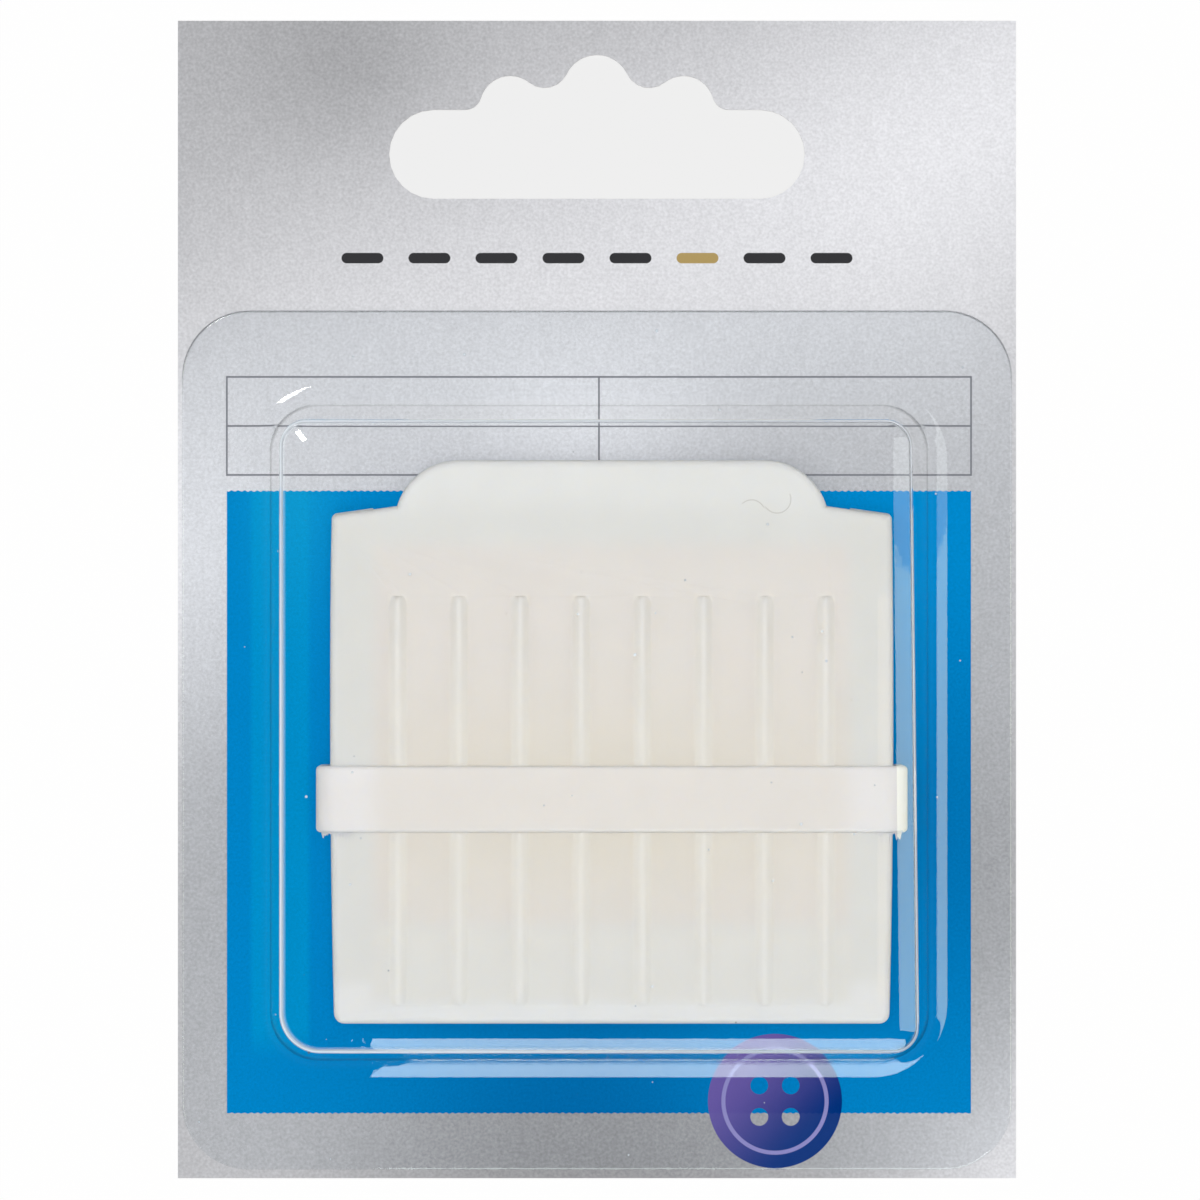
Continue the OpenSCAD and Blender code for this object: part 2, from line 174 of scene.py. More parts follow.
table_size = 3.0
table_z = -0.0001
table_white = 0.92
table_mirrored = 0.25
glow_share = 0.94
table_mesh = bpy.data.meshes.new("table")
table_mesh.from_pydata(
    [(x * table_size, y * table_size, table_z) for x, y in ((-1, -1), (1, -1), (1, 1), (-1, 1))],
    [],
    [(0, 1, 2, 3)],
)
table = bpy.data.objects.new("table", table_mesh)
bpy.context.scene.collection.objects.link(table)
table_mesh.materials.append(bpy.data.materials.new("table_paint"))
paint = Wiring(table_mesh.materials[0])
table_matt = paint.add("ShaderNodeBsdfDiffuse")
table_tone = paint.slope(paint.rays["Glossy Depth"], 0.4, 0.6, table_white, table_mirrored)
paint.feed(table_matt.inputs["Color"], table_tone)

# Less light gets down through the hang slot, so the glow is weaker over a patch of the table
slot_y = 0.0425
patch_squash = 2.4
patch_r = (0.022, 0.026)
patch_level = 0.86
patch_way = paint.add("ShaderNodeMapping")
paint.feed(patch_way.inputs[0], paint.place["Object"])
patch_way.inputs["Location"].default_value = (0.0, -slot_y * patch_squash, 0.0)
patch_way.inputs["Scale"].default_value = (1.0, patch_squash, 0.0)
patch_far = paint.add("ShaderNodeVectorMath", operation="LENGTH")
paint.feed(patch_far.inputs[0], patch_way.outputs[0])
table_glow = paint.add("ShaderNodeEmission")
glow_level = paint.slope(patch_far.outputs["Value"], patch_r[0], patch_r[1], patch_level, 1.0)
paint.feed(table_glow.inputs["Strength"], glow_level)
glowing = paint.sum("MULTIPLY", paint.line_of_sight(), glow_share)
table_mix = paint.wire("ShaderNodeMixShader", glowing, table_matt.outputs[0], table_glow.outputs[0])
paint.feed(paint.add("ShaderNodeOutputMaterial").inputs[0], table_mix)


# Backing card
# A die-cut board of 0.5 mm, printed in silver with a blue panel and thin grey rules, varnished.
# A row of stitches and a button are printed as plain sewing motifs. The back is bare grey board.
class Finish(Wiring):
    """A material and the short calls that its pattern needs."""

    def __init__(self, name):
        self.material = bpy.data.materials.new(name)
        super().__init__(self.material)

    def axes(self):
        """The object coordinates along X, Y and Z, in millimetres."""
        parts = self.add("ShaderNodeSeparateXYZ")
        self.feed(parts.inputs[0], self.place["Object"])
        return [self.sum("MULTIPLY", out, 1 / MM) for out in parts.outputs]

    def ramp(self, value, start, end, low=0.0, high=1.0):
        """A smooth step from low to high between start and end."""
        places = (value, start, end, low, high)
        return self.wire("ShaderNodeMapRange", *places, interpolation_type="SMOOTHSTEP")

    def between(self, value, low, high, blur):
        """1 between low and high, 0 outside, with edges of width blur."""
        up = self.ramp(value, low - blur / 2, low + blur / 2)
        down = self.ramp(value, high - blur / 2, high + blur / 2, 1.0, 0.0)
        return self.sum("MULTIPLY", up, down)

    def patch(self, x, span_x, y, span_y):
        """1 inside a box whose spans give low, high and the width of the blurred edge."""
        return self.sum("MULTIPLY", self.between(x, *span_x), self.between(y, *span_y))

    def squares(self, x, y):
        return self.sum("ADD", self.sum("MULTIPLY", x, x), self.sum("MULTIPLY", y, y))

    def bell(self, x, y, centre, width, amount):
        """A soft round rise of that amount, centred on a place."""
        dx = self.sum("DIVIDE", self.sum("SUBTRACT", x, centre[0]), width[0])
        dy = self.sum("DIVIDE", self.sum("SUBTRACT", y, centre[1]), width[1])
        fall = self.sum("EXPONENT", self.sum("MULTIPLY", self.squares(dx, dy), -1.0))
        return self.sum("MULTIPLY", fall, amount)

    def dot(self, dx, dy, radius):
        """1 within a radius of the middle."""
        far = self.sum("SQRT", self.squares(dx, dy))
        return self.ramp(far, radius - 0.03, radius + 0.03, 1.0, 0.0)

    def grain(self, size, detail=2.0, stretch=(1, 1, 1)):
        """Noise from 0 to 1 with grains of about that size in millimetres."""
        grid = self.add("ShaderNodeMapping")
        self.feed(grid.inputs[0], self.place["Object"])
        grid.inputs["Scale"].default_value = [s / (size * MM) for s in stretch]
        noise = self.add("ShaderNodeTexNoise")
        self.feed(noise.inputs["Vector"], grid.outputs[0])
        noise.inputs["Scale"].default_value = 1.0
        noise.inputs["Detail"].default_value = detail
        return noise.outputs[0]

    def dust(self, cell, radius, kept):
        """Small dots thrown at random, one to a cell of that many millimetres, of which a share is kept."""
        cells = self.add("ShaderNodeTexVoronoi")
        self.feed(cells.inputs["Vector"], self.place["Object"])
        cells.inputs["Scale"].default_value = 1 / (cell * MM)
        lot = self.add("ShaderNodeSeparateColor")
        self.feed(lot.inputs[0], cells.outputs["Color"])
        size = self.sum("MULTIPLY_ADD", lot.outputs[1], 0.8, 0.4)
        reach = self.sum("DIVIDE", self.sum("MULTIPLY", cells.outputs["Distance"], cell / radius), size)
        dot = self.ramp(reach, 0.6, 1.2, 1.0, 0.0)
        return self.sum("MULTIPLY", dot, self.sum("LESS_THAN", lot.outputs[0], kept))

    def blend(self, share, first, second):
        node = self.add("ShaderNodeMix", data_type="RGBA")
        self.feed(node.inputs["Factor"], share)
        self.feed(node.inputs[6], first)
        self.feed(node.inputs[7], second)
        return node.outputs[2]

    def tint(self, value, colour):
        """A colour times a value."""
        node = self.add("ShaderNodeVectorMath", operation="SCALE")
        self.feed(node.inputs[0], colour)
        self.feed(node.inputs["Scale"], value)
        return node.outputs[0]

    def relief(self, height, depth, strength):
        """A bump whose full height is depth millimetres."""
        node = self.add("ShaderNodeBump")
        node.inputs["Strength"].default_value = strength
        node.inputs["Distance"].default_value = depth * MM
        self.feed(node.inputs["Height"], height)
        return node.outputs[0]

    def surface(self, lets_through=0.0, **inputs):
        """The main shader, wired to the output. A share of the light may pass on through it."""
        shader = self.add("ShaderNodeBsdfPrincipled")
        for key, value in inputs.items():
            self.feed(shader.inputs[key.replace("_", " ")], value)
        if lets_through == 0.0:
            self.finish(shader.outputs[0])
            return
        passing = self.sum("MULTIPLY", self.lit_through(), lets_through)
        clear_way = self.add("ShaderNodeBsdfTransparent").outputs[0]
        self.finish(self.wire("ShaderNodeMixShader", passing, shader.outputs[0], clear_way))

    def lit_through(self):
        """1 for the rays that carry light from one surface to another."""
        return self.sum("MAXIMUM", self.rays["Is Shadow Ray"], self.rays["Is Diffuse Ray"])

    def finish(self, shader):
        out = self.add("ShaderNodeOutputMaterial")
        self.feed(out.inputs["Surface"], shader)


def ink(red, green, blue):
    """A printed colour, given as it looks on screen from 0 to 255."""
    return tuple(
        c / 12.92 if c <= 0.04045 else ((c + 0.055) / 1.055) ** 2.4
        for c in (red / 255, green / 255, blue / 255)
    ) + (1.0,)


silver = Finish("silver_card")
card_x, card_y, _ = silver.axes()

# The silver lightens along a slanted band and at the lower right corner, and darkens at the foot. These
# broad tones carry painted light and shade, and the last step is painted light that makes the silver
# lighter towards the foot.
band_centre = silver.sum("MULTIPLY_ADD", card_x, 0.43, 31.0)
off_band = silver.sum("SUBTRACT", card_y, band_centre)
silver_base = 178.0
silver_tone = silver.sum("MULTIPLY_ADD", card_x, 0.06, silver_base)
glows = (
    silver.bell(card_x, off_band, (-45, 0), (50, 25), 36),
    silver.bell(card_x, off_band, (45, 0), (60, 22), 48),
    silver.bell(card_x, card_y, (46, -57), (17, 17), 42),
    silver.bell(card_x, card_y, (0, -58), (26, 24), -34),
    silver.bell(card_x, card_y, (-38, 2), (11, 15), 21),
    silver.bell(card_x, card_y, (0, 15.5), (13, 7), 24),
    silver.bell(card_x, card_y, (8, 22), (22, 6), 8),
    silver.bell(card_x, card_y, (-32, -54), (14, 20), 12),
    silver.bell(card_x, card_y, (36, 17), (17, 24), 18),
    silver.bell(card_x, card_y, (37, -28), (8, 18), -17),
    silver.bell(card_x, card_y, (40, -56), (10, 9), 5),
    silver.bell(card_x, card_y, (-24, 51), (9, 8), -17),
    silver.ramp(card_y, 12.0, -12.0, 0.0, 9.0),
)
for glow in glows:
    silver_tone = silver.sum("ADD", silver_tone, glow)
speckle_spread = 46.0
cloud_spread = 9.0
speckle = silver.sum("SUBTRACT", silver.grain(0.28, 2.0), 0.5)
cloud = silver.sum("SUBTRACT", silver.grain(1.1, 2.0, (1.0, 0.45, 1.0)), 0.5)
silver_tone = silver.sum("MULTIPLY_ADD", speckle, speckle_spread, silver_tone)
silver_tone = silver.sum("MULTIPLY_ADD", cloud, cloud_spread, silver_tone)
silver_level = silver.sum("POWER", silver.sum("DIVIDE", silver_tone, 255.0), 2.2)
silver_face = silver.tint(silver_level, (0.985, 1.0, 1.05))

# Blue panel, whose upper and lower edges step with the screen of its ink
panel_x = (-35.34, 35.72)
panel_y = (-49.05, 10.36)
screen_pitch = 0.62
screen_depth = 0.09
teeth = silver.sum("SINE", silver.sum("MULTIPLY", card_x, 2 * math.pi / screen_pitch))
edge_wander = silver.sum("SUBTRACT", silver.grain(0.5), 0.5)
stepped_y = silver.sum("MULTIPLY_ADD", teeth, screen_depth / 2, card_y)
stepped_y = silver.sum("MULTIPLY_ADD", edge_wander, screen_depth * 1.5, stepped_y)
print_blur = (0.05,)
in_panel = silver.patch(card_x, panel_x + print_blur, stepped_y, panel_y + print_blur)
blue_tone = 132.5
# The blue's broad tones are painted light and shade: darker at the foot and the lower right, lighter at the
# upper right.
blue_glows = (
    silver.bell(card_x, card_y, (-2, -52), (19, 17), -22),
    silver.bell(card_x, card_y, (35, -24), (13, 19), -13),
    silver.bell(card_x, card_y, (33, 11), (12, 11), 12),
)
for glow in blue_glows:
    blue_tone = silver.sum("ADD", glow, blue_tone)
blue = silver.blend(silver.ramp(blue_tone, 100.0, 142.0), ink(0, 102, 170), ink(0, 145, 216))

# Painted light: the blue is lighter along the dome's left wall, and most of all at its upper end, where the
# wall throws light down onto the card
painted_wall_light = silver.patch(card_x, (-33.0, -27.5, 0.7), card_y, (-42.5, 12.0, 4.0))
# Painted light, strongest at the upper end of the left wall
upper_left = silver.bell(card_x, card_y, (-29, 11), (4.5, 12), 0.6)
blue = silver.blend(silver.sum("MULTIPLY", painted_wall_light, 0.8), blue, ink(0, 156, 217))
blue = silver.blend(upper_left, blue, ink(22, 171, 226))
blue_mottle = silver.sum("MULTIPLY_ADD", silver.grain(0.25, 2.0), 0.36, 0.82)
print_colour = silver.blend(in_panel, silver_face, silver.tint(blue_mottle, blue))

# Thin rules above the panel
rule_y = (21.25, 16.57, 11.89)
rule_x = (panel_x[0], 0.19, panel_x[1])
rule_t = 0.17
rule_ink = ink(128, 130, 138)
in_rule_width = silver.between(card_x, rule_x[0] - rule_t / 2, rule_x[2] + rule_t / 2, 0.05)
in_rule_height = silver.between(card_y, rule_y[2] - rule_t / 2, rule_y[0] + rule_t / 2, 0.05)
rules = 0.0
for along, across, places in ((in_rule_width, card_y, rule_y), (in_rule_height, card_x, rule_x)):
    for at in places:
        line = silver.between(across, at - rule_t / 2, at + rule_t / 2, 0.06)
        rules = silver.sum("MAXIMUM", rules, silver.sum("MULTIPLY", line, along))
print_colour = silver.blend(rules, print_colour, rule_ink)

# A row of printed stitches under the slot
stitch_y = 32.6
stitch_pitch = 6.4
stitch_len = 4.0
stitch_t = 1.0
stitch_n = 8
stitch_row = stitch_n * stitch_pitch / 2
stitch_u = silver.sum("MODULO", silver.sum("ADD", card_x, stitch_row), stitch_pitch)
stitch_u = silver.sum("ABSOLUTE", silver.sum("SUBTRACT", stitch_u, stitch_pitch / 2))
stitch_u = silver.sum("MAXIMUM", silver.sum("SUBTRACT", stitch_u, (stitch_len - stitch_t) / 2), 0.0)
stitch_v = silver.sum("SUBTRACT", card_y, stitch_y)
in_stitch = silver.dot(stitch_u, stitch_v, stitch_t / 2)
in_stitch = silver.sum("MULTIPLY", in_stitch, silver.between(card_x, -stitch_row, stitch_row, 0.05))
in_gold = silver.between(card_x, stitch_pitch, 2 * stitch_pitch, 0.05)
stitch_ink = silver.blend(in_gold, ink(48, 48, 52), ink(176, 152, 96))
print_colour = silver.blend(in_stitch, print_colour, stitch_ink)

# A printed button at the foot
button_at = (17.0, -47.9)
button_r = 6.4
hole_r = 0.85
hole_step = 1.5
button_dx = silver.sum("SUBTRACT", card_x, button_at[0])
button_dy = silver.sum("SUBTRACT", card_y, button_at[1])
in_button = silver.dot(button_dx, button_dy, button_r)
fold_dx = silver.sum("SUBTRACT", silver.sum("ABSOLUTE", button_dx), hole_step)
fold_dy = silver.sum("SUBTRACT", silver.sum("ABSOLUTE", button_dy), hole_step)
in_holes = silver.dot(fold_dx, fold_dy, hole_r)
groove_out = silver.dot(button_dx, button_dy, button_r * 0.80)
groove_in = silver.dot(button_dx, button_dy, button_r * 0.74)
in_groove = silver.sum("SUBTRACT", groove_out, groove_in)
slant = silver.sum("SUBTRACT", button_dy, button_dx)
violet = silver.ramp(slant, -7.0, 8.0)
button_ink = silver.blend(violet, ink(0, 52, 128), ink(112, 96, 172))
button_ink = silver.blend(in_groove, button_ink, ink(150, 146, 205))
in_button = silver.sum("SUBTRACT", in_button, in_holes, clamp=True)
print_colour = silver.blend(in_button, print_colour, button_ink)

# A few dark flecks in the print
print_colour = silver.blend(silver.dust(7.0, 0.13, 0.5), print_colour, ink(96, 98, 104))

# Board: grey back, paler cut edge
normal_parts = silver.add("ShaderNodeSeparateXYZ")
silver.feed(normal_parts.inputs[0], silver.place["Normal"])
faces_front = silver.sum("GREATER_THAN", normal_parts.outputs[2], 0.5)
faces_back = silver.sum("LESS_THAN", normal_parts.outputs[2], -0.5)
fibre = silver.grain(0.5, 6.0, (1.0, 0.3, 3.0))
board_tone = silver.sum("MULTIPLY_ADD", fibre, 0.16, 0.50)
board = silver.tint(board_tone, (0.98, 0.97, 0.93))
edge_tone = silver.sum("MULTIPLY_ADD", fibre, 0.20, 0.60)
cut_edge = silver.tint(edge_tone, (1.0, 0.99, 0.97))
card_colour = silver.blend(faces_front, cut_edge, print_colour)
card_colour = silver.blend(faces_back, card_colour, board)
board_rough = 0.84
varnish_rough = 0.42
silver_gloss = 0.12
silver.surface(
    Base_Color=card_colour,
    Roughness=silver.sum("MULTIPLY_ADD", faces_front, varnish_rough - board_rough, board_rough),
    Specular_IOR_Level=silver.sum("MULTIPLY_ADD", in_panel, -silver_gloss, silver_gloss),
    Normal=silver.relief(silver.grain(0.22, 3.0), 0.01, 0.5),
)


def dress(made, material):
    """Gives an object one material."""
    made.data.materials.clear()
    made.data.materials.append(material)


dress(nodes["backing_card"], silver.material)


# Holder
# One polyethylene moulding, folded at a web along its foot into two leaves that meet beside the
# chalk. Eight ribs stand on each leaf. Those in front rise towards the lip, where the ring tightens.
chalk_w = 44.8
chalk_h = 36.0
chalk_t = 5.0
leaf_t = 1.3
floor_t = 1.5
cell_h = 6.3
ledge_t = 1.4
ledge_top = floor_t + cell_h + ledge_t
chalk_foot_gap = 0.2
chalk_side_gap = 0.25
chalk_face_gap = 0.1
rail_w = 3.9
shoulder_rise = 3.75
lip_rise = 4.35
chalk_y = ledge_top + chalk_foot_gap
shoulder_y = chalk_y + chalk_h + shoulder_rise
holder_h = shoulder_y + lip_rise
pocket_w = chalk_w + 2 * chalk_side_gap
holder_w = pocket_w + 2 * rail_w
lip_w = 41.3
lip_corner_r = 6.2
shoulder_fall = 0.8
shoulder_r = 0.6
foot_r = 1.1
side_bow = 0.2
foot_taper = 0.2
side_draft = 0.12
edge_r = 0.7
part_gap = 0.1
tray_h = leaf_t + chalk_t / 2 + chalk_face_gap - part_gap / 2
open_deg = 1.4
web_r = 0.5
web_proud = 0.1
web_gap = 0.08
hinge_y = web_r - web_proud
web_inset = 3.0
web_w = holder_w - 2 * (foot_taper + web_inset)
rib_n = 8
rib_run = 1.035
rib_w = 1.85
rib_h = 0.35
rib_low = 1.9
rib_top_gap = 8.55
rib_inset = 2.45
rib_high = shoulder_y - rib_top_gap
rib_pitch = (pocket_w - 2 * rib_inset) / (rib_n - 1)
ring_rest = 21.3
ring_h = 6.3
ring_top = ring_rest + ring_h / 2
wedge_rate = math.radians(open_deg) / (rib_high - ring_top)
least_r = 0.08
past = 1.0
lip_lead = 0.6
lip_lead_depth = 0.3

back_low, back_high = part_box("back_jaw")
tool_x = (back_low.x + back_high.x) / 2 / MM
tool_y = back_low.y / MM + web_proud
part_z = back_low.z / MM + rib_h + tray_h + part_gap / 2


def arc(cx, cy, r, a0, a1, n):
    """Points on an arc from angle a0 to a1, in degrees."""
    turns = [math.radians(a0 + (a1 - a0) * i / n) for i in range(n + 1)]
    return [(cx + r * math.cos(t), cy + r * math.sin(t)) for t in turns]


def side_x(y):
    """Half width of the holder at a height."""
    t = y / shoulder_y
    return holder_w / 2 + 4 * side_bow * t * (1 - t) - foot_taper * (1 - t) ** 2


def half_outline(d, corner=10, side=14):
    """Right half of the holder's outline, drawn in by d, from the foot to the lip."""
    fr = max(foot_r - d, least_r)
    sr = max(shoulder_r - d, least_r)
    top_y = shoulder_y - shoulder_fall - d - sr
    lr = lip_corner_r - d
    lx = lip_w / 2 - lip_corner_r
    ly = holder_h - lip_corner_r
    notch_y = shoulder_y - d
    a = math.degrees(math.asin((notch_y - ly) / lr)) if notch_y > ly else 0.0
    points = arc(side_x(foot_r) - d - fr, d + fr, fr, -90, 0, corner)
    rise = (top_y - d - fr) / (side + 1)
    points += [(side_x(d + fr + rise * i) - d, d + fr + rise * i) for i in range(1, side + 1)]
    points += arc(side_x(shoulder_y) - d - sr, top_y, sr, 0, 90, corner)
    points += arc(lx, ly, lr, a, 90, 2 * corner)
    return points


def holder_outline(d):
    right = half_outline(d)
    return right + [(-x, y) for x, y in reversed(right)]


def lift(outline, z):
    return [(x, y, z) for x, y in outline]


def skin(name, rings, closed=False):
    """A closed mesh over a stack of outlines that have as many points each."""
    count = len(rings[0])
    verts = [point for ring in rings for point in ring]
    faces = []
    bands = len(rings) if closed else len(rings) - 1
    for j in range(bands):
        low = j * count
        high = (j + 1) % len(rings) * count
        for i in range(count):
            k = (i + 1) % count
            faces.append((low + i, low + k, high + k, high + i))
    if not closed:
        faces.append(tuple(reversed(range(count))))
        top = (len(rings) - 1) * count
        faces.append(tuple(range(top, top + count)))
    return solid(name, verts, faces)


def solid(name, verts, faces):
    """An object from points in millimetres, its faces turned outwards."""
    mesh = bpy.data.meshes.new(name)
    mesh.from_pydata([[c * MM for c in v] for v in verts], [], faces)
    work = bmesh.new()
    work.from_mesh(mesh)
    bmesh.ops.remove_doubles(work, verts=work.verts, dist=1e-7)
    bmesh.ops.recalc_face_normals(work, faces=work.faces)
    work.to_mesh(mesh)
    work.free()
    made = bpy.data.objects.new(name, mesh)
    bpy.context.scene.collection.objects.link(made)
    return made


def shift(made, matrix):
    """Moves a mesh, and keeps its faces outwards when it is mirrored."""
    made.data.transform(matrix)
    if matrix.determinant() < 0:
        made.data.flip_normals()


def combine(made, other, operation):
    """Joins or cuts one mesh with another, which is used up."""
    change = made.modifiers.new("change", "BOOLEAN")
    change.object = other
    change.operation = operation
    change.solver = "EXACT"
    settle(made)
    bpy.data.objects.remove(other)


def settle(made):
    """Turns a mesh and its modifiers into a plain mesh."""
    depsgraph = bpy.context.evaluated_depsgraph_get()
    plain = bpy.data.meshes.new_from_object(made.evaluated_get(depsgraph))
    made.modifiers.clear()
    old = made.data
    made.data = plain
    plain.name = old.name
    bpy.data.meshes.remove(old)


def smooth(made, angle):
    """Smooth shading, with edges kept sharp past an angle."""
    made.data.shade_smooth()
    made.data.set_sharp_from_angle(angle=math.radians(angle))


def bar(name, profile, width):
    """A profile across Y and Z, extruded along X about the middle."""
    rings = [[(x, y, z) for y, z in profile] for x in (-width / 2, width / 2)]
    return skin(name, rings)


def rib_blank(name, wedge):
    """One rib on the XY plane, its crest round and its ends run out."""
    end_steps = 8
    length_steps = 24
    crest_steps = 14
    crest_power = 1.8
    end_share = 0.08
    ends = [1 - math.cos(math.radians(90 * i / end_steps)) for i in range(end_steps + 1)]
    stations = [(rib_high - rib_run * e, math.sqrt(1 - (1 - e) ** 2)) for e in ends]
    middle = rib_high - rib_low - 2 * rib_run
    stations += [
        (rib_high - rib_run - middle * i / length_steps, 1.0)
        for i in range(1, length_steps)
    ]
    stations += [(rib_low + rib_run * e, math.sqrt(1 - (1 - e) ** 2)) for e in reversed(ends)]
    rings = []
    for y, share in stations:
        share = max(share, end_share)
        rise = wedge * max(y - ring_top, 0.0) ** 2
        h = (rib_h + rise) * share
        w = rib_w * (1 + share) / 2
        crest = [
            (w / 2 - w * i / crest_steps, y, h * math.sin(math.pi * i / crest_steps) ** crest_power)
            for i in range(1, crest_steps)
        ]
        root = [(w / 2, y, -rib_h), (w / 2, y, -0.01)]
        rings.append(root + crest + [(-x, y, z) for x, y, z in reversed(root)])
    return skin(name, rings)


def rib_row_tree():
    """Geometry Nodes that set copies of a rib in a row."""
    tree = bpy.data.node_groups.new("rib_row", "GeometryNodeTree")
    face = tree.interface
    for socket, kind in (
        ("Geometry", "Geometry"),
        ("Rib", "Object"),
        ("Count", "Int"),
        ("Pitch", "Float"),
        ("Start", "Float"),
        ("Finish", "Material"),
    ):
        face.new_socket(socket, in_out="INPUT", socket_type="NodeSocket" + kind)
    face.new_socket("Geometry", in_out="OUTPUT", socket_type="NodeSocketGeometry")
    given = tree.nodes.new("NodeGroupInput")
    result = tree.nodes.new("NodeGroupOutput")
    row = tree.nodes.new("GeometryNodeMeshLine")
    step = tree.nodes.new("ShaderNodeCombineXYZ")
    start = tree.nodes.new("ShaderNodeCombineXYZ")
    rib = tree.nodes.new("GeometryNodeObjectInfo")
    copies = tree.nodes.new("GeometryNodeInstanceOnPoints")
    real = tree.nodes.new("GeometryNodeRealizeInstances")
    paint = tree.nodes.new("GeometryNodeSetMaterial")
    join = tree.links.new
    join(given.outputs["Pitch"], step.inputs["X"])
    join(given.outputs["Start"], start.inputs["X"])
    join(given.outputs["Count"], row.inputs["Count"])
    join(start.outputs[0], row.inputs["Start Location"])
    join(step.outputs[0], row.inputs["Offset"])
    join(given.outputs["Rib"], rib.inputs["Object"])
    join(row.outputs[0], copies.inputs["Points"])
    join(rib.outputs["Geometry"], copies.inputs["Instance"])
    join(copies.outputs[0], real.inputs[0])
    join(real.outputs[0], paint.inputs["Geometry"])
    join(given.outputs["Finish"], paint.inputs["Material"])
    join(paint.outputs[0], result.inputs[0])
    return tree


def hair(finish, u, v):
    """A short curled fibre that lies on the leaf near its lip, as two arcs."""
    marks = 0.0
    for centre, radius, start, end in (((15.6, 49.6), 1.3, -2.6, 0.4), ((13.2, 48.3), 1.25, 0.4, 2.4)):
        dx = finish.sum("SUBTRACT", u, centre[0])
        dy = finish.sum("SUBTRACT", v, centre[1])
        far = finish.sum("SQRT", finish.squares(dx, dy))
        off = finish.sum("ABSOLUTE", finish.sum("SUBTRACT", far, radius))
        line = finish.ramp(off, 0.02, 0.07, 1.0, 0.0)
        turn = finish.between(finish.sum("ARCTAN2", dy, dx), start, end, 0.1)
        marks = finish.sum("MAXIMUM", marks, finish.sum("MULTIPLY", line, turn))
    return marks


def milky_plastic(name, chalk_shows, bleed):
    """Natural polyethylene. The chalk behind a leaf darkens and warms it, painted shade darkens it about
    the ring, and painted light lightens the rib flanks.
    """
    milk = Finish(name)
    x, y, _ = milk.axes()
    u = milk.sum("SUBTRACT", x, tool_x)
    v = milk.sum("SUBTRACT", y, tool_y)
    clear_tone = ink(248, 247, 243) if chalk_shows else ink(253, 249, 247)
    rail_tone = ink(241, 240, 236)
    cell_tone = ink(245, 242, 236)
    warm_tone = ink(243, 237, 232)
    body = milk.blend(milk.ramp(v, 47.0, 51.0), rail_tone, clear_tone)
    body = milk.blend(milk.ramp(v, 5.0, 3.0), body, ink(248, 247, 245))
    pocket_span = (-pocket_w / 2, pocket_w / 2, 1.6)
    in_cell = milk.patch(u, pocket_span, v, (floor_t + 0.6, ledge_top - 0.6, 1.8))
    body = milk.blend(in_cell, body, cell_tone)
    if not chalk_shows:
        over_chalk = milk.between(u, -chalk_w / 2, chalk_w / 2, 3.0)
        body = milk.blend(over_chalk, clear_tone, ink(247, 242, 237))
    else:
        chalk_span = (-chalk_w / 2, chalk_w / 2, 2.0)
        in_chalk = milk.patch(u, chalk_span, v, (chalk_y, chalk_y + chalk_h, 2.6))
        cloud = milk.ramp(milk.grain(7.0, 3.0), 0.2, 0.75, 0.72, 1.0)
        body = milk.blend(milk.sum("MULTIPLY", in_chalk, cloud), body, warm_tone)
        # Painted shade: the leaf is darker and warmer about the ring
        painted_ring_shade = milk.sum("MULTIPLY", milk.bell(u, v, (0, 21), (26, 9), 1.0), in_chalk)
        body = milk.blend(painted_ring_shade, body, ink(239, 233, 222))
        # The ribs are thicker, so less of the chalk shows through them. The lighter paint also runs over
        # their flanks and a little past them, as painted light against the shade there.
        rib_u = milk.sum("ADD", u, rib_n * rib_pitch / 2)
        rib_u = milk.sum("SUBTRACT", milk.sum("MODULO", rib_u, rib_pitch), rib_pitch / 2)
        rib_u = milk.sum("ABSOLUTE", rib_u)
        rib_tint_and_flank_light = milk.sum(
            "MULTIPLY",
            milk.ramp(rib_u, rib_w / 2 - 0.25, rib_w / 2 + 0.1, 0.55, 0.0),
            milk.between(v, rib_low, rib_high, 1.0),
        )
        body = milk.blend(rib_tint_and_flank_light, body, ink(252, 248, 241))
    body = milk.blend(milk.sum("MULTIPLY", milk.dust(4.5, 0.09, 0.35), 0.5), body, ink(176, 160, 138))
    if chalk_shows:
        body = milk.blend(milk.sum("MULTIPLY", hair(milk, u, v), 0.4), body, ink(170, 164, 152))
    haze = milk.sum("MULTIPLY_ADD", milk.grain(3.5, 3.0), 0.05, 0.905)
    milk.surface(
        lets_through=0.85,
        Base_Color=milk.tint(haze, body),
        Roughness=0.42,
        Specular_IOR_Level=0.25,
        Subsurface_Weight=0.7,
        Subsurface_Radius=(1.0, 0.95, 0.85),
        Subsurface_Scale=bleed * MM,
        Normal=milk.relief(milk.grain(0.9, 4.0), 0.02, 0.35),
    )
    return milk.material


